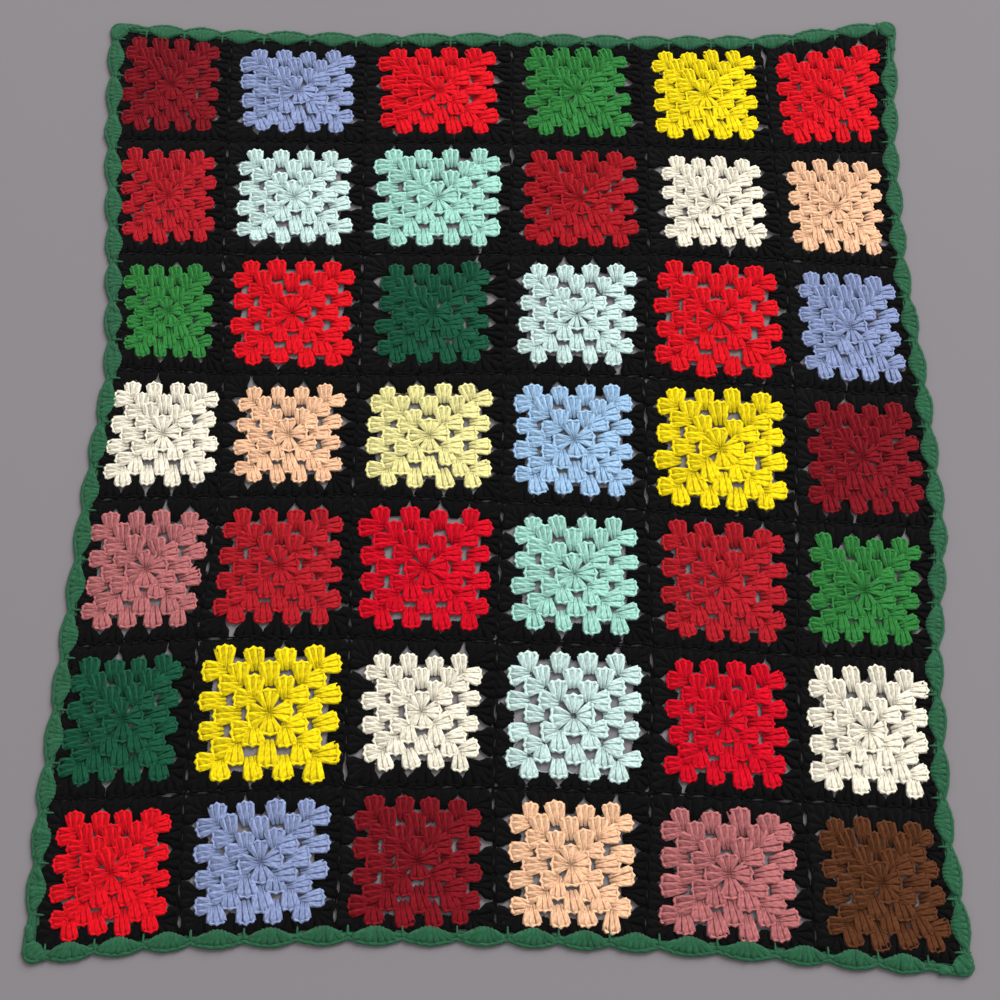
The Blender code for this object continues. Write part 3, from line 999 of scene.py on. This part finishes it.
@dataclass
class BlackGround:
    """The last round of every square, joined along the seams as it is worked."""

    last: LastRound = LastRound()
    # In the black the edge gets painted shade instead of a painted highlight, darker than the posts,
    # so that the seams' rims do not stand out.
    shape: ClusterShape = ClusterShape(
        foot_step=3.4 * MM, head_step=9.4 * MM, half_foot=2.4 * MM, half_head=5.2 * MM,
        edge_reach=10.5 * MM, edge_radius=1.9 * MM, space_radius=0.8 * MM, edge_height=2.1 * MM,
        space_height=1.7 * MM, edge_painted_light=0.85, squareness=1.0, section=round_section(6),
        edge_sides=5, edge_sweep=80.0, edge_points=6, space_push=0.0)
    area: float = 0.35      # square metres worked in black, with what lies under the lobes
    corner_reach: float = 5.5 * MM      # how far the chain over a corner stands out

    def round_of(self, plan: SquarePlan) -> Clusters:
        """Lays out the last round of one square.

        Args:
            plan: the square.

        Returns:
            Where its clusters lie.
        """
        last, rng = self.last, plan.rng()
        feet, heads, drops, wide = [], [], [], []
        order = list(Side)
        for side in order:
            before, after = order[side.value - 1], order[(side.value + 1) % len(order)]
            low = -(plan.seam(before) - last.corner_inset)
            high = plan.seam(after) - last.corner_inset
            aside = np.linspace(low, high, last.clusters)
            outer = plan.is_outer(side)
            most = last.slit_across if side in (Side.TOP, Side.FOOT) else last.slit_down
            slit = most * rng.uniform(0, 1, last.clusters) ** 2
            slit[1:-1] *= last.slit_inner
            inset = np.full(last.clusters, last.outer_inset) if outer else last.seam_inset + slit
            up = plan.seam(side) - inset / plan.half_towards(side)
            lobes = plan.leaned(ROUNDS[-1])[side.value, :, 2]
            between = (lobes[1:] + lobes[:-1]) / 2
            foot_aside = np.array([-last.hub[0], *between, last.hub[0]])
            foot_up = np.full(last.clusters, last.foot - last.tight_sink * (1 - plan.openness))
            foot_up[[0, -1]] = last.hub[1]
            uneven = rng.normal((LEAN, 0.0), (LEAN_SPREAD, last.up_spread), (last.clusters, 2))
            feet.append(turned(np.stack([foot_aside, foot_up], 1), side))
            heads.append(turned(np.stack([aside, up], 1) + uneven, side))
            drops += [last.outer_drop] * last.clusters if outer else list(-slit)
            pitch = (high - low) / (last.clusters - 1) * plan.half_towards(after)
            wide += [pitch / last.usual_pitch] * last.clusters
        foot_share = last.tight_foot + (1 - last.tight_foot) * plan.openness
        pinch = np.full((len(order), last.clusters), foot_share)
        pinch[:, [0, -1]] *= last.pinch
        return Clusters(plan.place(np.concatenate(feet)), plan.place(np.concatenate(heads)),
                        plan.sides(last.clusters), pinch.ravel(), np.array(drops),
                        np.array(wide))

    def build(self) -> bpy.types.Object:
        """Works the black rounds into one piece.

        Returns:
            The finished piece.
        """
        strands = Strands()
        for row in range(ROWS):
            for column in range(COLUMNS):
                plan = SquarePlan(row, column)
                work = ClusterWork(strands, self.shape, plan.openness, plan.rng())
                work.work(self.round_of(plan), BLACK_PROFILE, self.corner_reach)
        piece = strands.build("black_ground", Yarn.BLACK)
        return piece


# --- The edging ---------------------------------------------------------------------------------


@dataclass(frozen=True)
class RoundChain:
    """A chain that runs right round the blanket; lengths are in metres."""

    half: float             # half its width
    height: float           # of its middle, off the floor
    flatness: float = 0.6   # how high it is, as a share of its width
    share_out: float = 0.0  # how far out it lies, from the black's edge to the outline
    inset: float = 0.0      # how far in from there


RIM = RoundChain(half=1.6 * MM, height=2.6 * MM, flatness=0.7, share_out=1.0)
BAND = RoundChain(half=1.8 * MM, height=2.6 * MM, share_out=0.42)
HEM = RoundChain(half=1.3 * MM, height=1.6 * MM, inset=0.4 * MM)


@dataclass
class GreenEdging:
    """The green edging: shells with a single short stitch between them."""

    crest_depth: float = 10.5 * MM      # outside the black, at the middle of a shell
    valley_depth: float = 5.5 * MM      # outside the black, between two shells
    corner_depth: float = 8.6 * MM      # outside the black, at a corner
    # Along a square's side: the middle of a shell, then a single stitch, and so on.
    stations: tuple[float, ...] = (0.07, 0.24, 0.41, 0.58, 0.75, 0.92)
    shell_posts: int = 7
    corner_posts: int = 9
    fan: float = 0.86                   # how far from its middle a shell's outer posts end
    foot_depth: float = 7.0 * MM        # how far a shell reaches onto the black
    foot_rounding: float = 0.85         # how much less its outer posts do, as a share
    foot_reach: float = 9.0 * MM        # half the width of a shell's foot
    spike_depth: float = 7.0 * MM       # how far a single stitch reaches onto the black
    spike_share: float = 0.36           # how wide it is, to a shell's posts
    half_foot: float = 2.2 * MM         # half the width of a post at its foot
    half_head: float = 3.3 * MM         # the same at its head
    half_high: float = 1.3 * MM         # half its height
    foot_rise: float = 0.6 * MM         # how much higher feet lie, on the black's edge
    height_spread: float = 0.2 * MM     # how uneven the posts' height is
    post_spread: float = 0.06           # how uneven their thickness and dye are, as a share
    chain_spread: float = 0.25 * MM     # how uneven the chains are
    chains: tuple[RoundChain, ...] = (RIM, BAND, HEM)
    chain_points: int = 16              # for each shell
    section: np.ndarray = field(default_factory=lambda: round_section(8))
    evenness: float = 0.4               # how much of the posts' painted shade shows
    corner_share: float = 0.4           # of the way to the next station, spent on the turn

    def line(self) -> tuple[np.ndarray, np.ndarray, np.ndarray]:
        """Lays out the stations round the blanket, clockwise from the top left corner.

        Returns:
            The points on the black's edge, the outward directions and the depths of the green.
        """
        sides = (
            (CROSSINGS[0], (0, 1)),
            (CROSSINGS[:, COLUMNS], (1, 0)),
            (CROSSINGS[ROWS, ::-1], (0, -1)),
            (CROSSINGS[::-1, 0], (-1, 0)),
        )
        points, outwards, depths = [], [], []
        for number, (corners, out) in enumerate(sides):
            for square, (start, end) in enumerate(zip(corners, corners[1:])):
                for index, share in enumerate(self.stations):
                    at_corner = square == 0 and index == 0
                    before = np.array(sides[number - 1][1], float)
                    points.append(start if at_corner else start + (end - start) * share)
                    outwards.append(np.array(out, float) + (before if at_corner else 0))
                    depth = self.valley_depth if index % 2 else self.crest_depth
                    depths.append(self.corner_depth if at_corner else depth)
        return np.array(points), np.array(outwards), np.array(depths)

    def outline(self, where: np.ndarray, share_out: float = 1.0,
                inset: float = 0.0) -> np.ndarray:
        """Finds points of the outer outline, or of a line part of the way out to it.

        Args:
            where: how far round; whole numbers are stations, even ones shells.
            share_out: how far out, from 0 on the edge of the black to 1.
            inset: how far in from there, in metres.

        Returns:
            The points, one row each.
        """
        points, outwards, depths = self.line()
        low = np.floor(where).astype(int)
        share = (where - low)[..., None]
        low, high = low % len(points), (low + 1) % len(points)
        is_corner = faces_two_ways(outwards)
        leaving, coming = is_corner[low][..., None], is_corner[high][..., None]
        spent = self.corner_share
        turn = np.where(leaving, share / spent,
                        np.where(coming, (share - 1 + spent) / spent, share)).clip(0, 1)
        going = np.where(leaving, (share - spent) / (1 - spent),
                         np.where(coming, share / (1 - spent), share)).clip(0, 1)
        ease = np.where((low % 2 == 0)[..., None], 1 - np.cos(going * math.pi / 2),
                        np.sin(going * math.pi / 2))
        depth = depths[low][..., None] * (1 - ease) + depths[high][..., None] * ease
        base = points[low] * (1 - going) + points[high] * going
        out = outwards[low] * (1 - turn) + outwards[high] * turn
        out = out / np.linalg.norm(out, axis=-1, keepdims=True)
        return base + out * (depth * share_out - inset)

    def posts(self, strands: Strands, rng: np.random.Generator) -> None:
        """Adds the fan of posts of each shell, and the single stitches.

        Args:
            strands: where they are added.
            rng: the source of their unevenness.
        """
        points, outwards, _ = self.line()
        is_corner = faces_two_ways(outwards)
        along, height, wide, high, _, _, dye_and_painted_shade = POST_PROFILE.T
        tails, tips, shares = [], [], []
        for station in range(0, len(points), 2):
            out, place = outwards[station], points[station]
            onwards = np.array([out[1], -out[0]])
            count = self.corner_posts if is_corner[station] else self.shell_posts
            for part in np.linspace(-self.fan, self.fan, count):
                foot_depth = self.foot_depth * (1 - self.foot_rounding * part ** 2)
                tails.append(place - out * foot_depth + onwards * part * self.foot_reach)
                tips.append(station + part)
            tails.append(points[station + 1] - outwards[station + 1] * self.spike_depth)
            tips.append(station + 1.0)
            shares += [1.0] * count + [self.spike_share]
        tails, shares, count = np.array(tails), np.array(shares)[:, None], len(tails)
        reach = self.outline(np.array(tips) % len(points)) - tails
        reach *= 1 - RIM.half / np.linalg.norm(reach, axis=1, keepdims=True)
        path = np.empty((count, len(along), 3))
        path[..., :2] = tails[:, None] + reach[:, None] * along[:, None]
        path[..., 2] = (height + rng.normal(0, self.height_spread, (count, 1))
                        + self.foot_rise * (1 - along))
        size = rng.normal(1.0, self.post_spread, (count, 1)) * shares
        half = (self.half_foot + (self.half_head - self.half_foot) * along) * wide * size
        tall = np.broadcast_to(self.half_high * high, half.shape)
        # The dye's random tone, with part of the posts' painted shade.
        shade = rng.normal(1.0, self.post_spread, (count, 1)) * dye_and_painted_shade ** self.evenness
        strands.add(path, half, tall, shade, self.section, twist=POST_ROLL)

    def build(self) -> bpy.types.Object:
        """Works the shells, the single stitches and the chains along them.

        Returns:
            The finished piece.
        """
        strands, rng = Strands(), np.random.default_rng(7)
        self.posts(strands, rng)
        points, _, _ = self.line()
        where = np.arange(len(points) // 2 * self.chain_points) * 2 / self.chain_points
        for chain in self.chains:
            ring = self.outline(where, chain.share_out, chain.inset)
            ring = np.concatenate([ring, np.full((len(ring), 1), chain.height)], axis=1)[None]
            ring = ring + rng.normal(0, self.chain_spread, ring.shape)
            wide = np.full(ring.shape[:2], chain.half)
            strands.add(ring, wide, wide * chain.flatness, np.array([1.0]), self.section,
                        closed=True)
        piece = strands.build("shell_edging", Yarn.EDGING_GREEN)
        return piece


def faces_two_ways(outwards: np.ndarray) -> np.ndarray:
    """Whether each direction is a corner's, which faces across and up at once."""
    return np.all(outwards != 0, axis=-1)


# --- The studio ---------------------------------------------------------------------------------


@dataclass
class Studio:
    """A pale floor, soft light and the camera."""

    floor_size: float = 8.0             # metres
    floor_colour: tuple[float, float, float] = (0.187, 0.175, 0.184)
    floor_roughness: float = 0.95
    floor_specular: float = 0.1
    middle: tuple[float, float, float] = (0.0, -0.046, 0.0)     # where the camera looks
    lens: float = 66.564                # millimetres
    elevation: float = math.radians(70)
    distance: float = 1.849             # metres from the camera to where it looks
    light_place: tuple[float, float, float] = (5.0, 7.5, 6.4)
    light_size: float = 7.0             # metres
    light_power: float = 1840.0         # watts
    sky: float = 0.72                   # strength of the light from all round

    def floor(self) -> bpy.types.Object:
        """Lays the floor.

        Returns:
            The floor.
        """
        half = self.floor_size / 2
        mesh = bpy.data.meshes.new("floor")
        corners = [(-half, -half, 0), (half, -half, 0), (half, half, 0), (-half, half, 0)]
        mesh.from_pydata(corners, [], [(0, 1, 2, 3)])
        material = bpy.data.materials.new("floor")
        material.use_nodes = True
        set_inputs(material.node_tree.nodes["Principled BSDF"], {
            "Base Color": (*self.floor_colour, 1.0),
            "Roughness": self.floor_roughness,
            "Specular IOR Level": self.floor_specular,
        })
        mesh.materials.append(material)
        floor = bpy.data.objects.new("floor", mesh)
        bpy.context.scene.collection.objects.link(floor)
        return floor

    def light(self) -> None:
        """Hangs one large soft light under an even sky."""
        world = bpy.data.worlds.new("sky")
        world.use_nodes = True
        set_inputs(world.node_tree.nodes["Background"],
                   {"Color": (1.0, 1.0, 1.0, 1.0), "Strength": self.sky})
        bpy.context.scene.world = world
        lamp = bpy.data.lights.new("soft_light", "AREA")
        lamp.shape = "SQUARE"
        lamp.size = self.light_size
        lamp.energy = self.light_power
        item = bpy.data.objects.new("soft_light", lamp)
        item.location = self.light_place
        aim = Vector(self.middle) - Vector(self.light_place)
        item.rotation_euler = aim.to_track_quat("-Z", "Y").to_euler()
        bpy.context.scene.collection.objects.link(item)

    def camera(self) -> None:
        """Sets up the camera."""
        lens = bpy.data.cameras.new("camera")
        lens.lens = self.lens
        camera = bpy.data.objects.new("camera", lens)
        back = self.distance * math.cos(self.elevation)
        up = self.distance * math.sin(self.elevation)
        camera.location = (self.middle[0], self.middle[1] - back, self.middle[2] + up)
        camera.rotation_euler = (math.pi / 2 - self.elevation, 0.0, 0.0)
        bpy.context.scene.collection.objects.link(camera)
        bpy.context.scene.camera = camera

    def build(self) -> None:
        """Sets the stage."""
        self.floor()
        self.light()
        self.camera()
        bpy.context.scene.view_settings.view_transform = "Standard"


# --- Making the blanket -------------------------------------------------------------------------


def report(piece: bpy.types.Object) -> None:
    """Logs one finished piece."""
    triangles = sum(len(face.vertices) - 2 for face in piece.data.polygons)
    log.info("%s: %d triangles", piece.name, triangles)


def main() -> None:
    """Builds the stage and the blanket, piece by piece."""
    logging.basicConfig(level=logging.INFO, format="%(message)s")
    Studio().build()
    for row in range(ROWS):
        for column in range(COLUMNS):
            report(GrannyMiddle(SquarePlan(row, column)).build())
    report(BlackGround().build())
    report(GreenEdging().build())


if __name__ == "__main__":
    main()
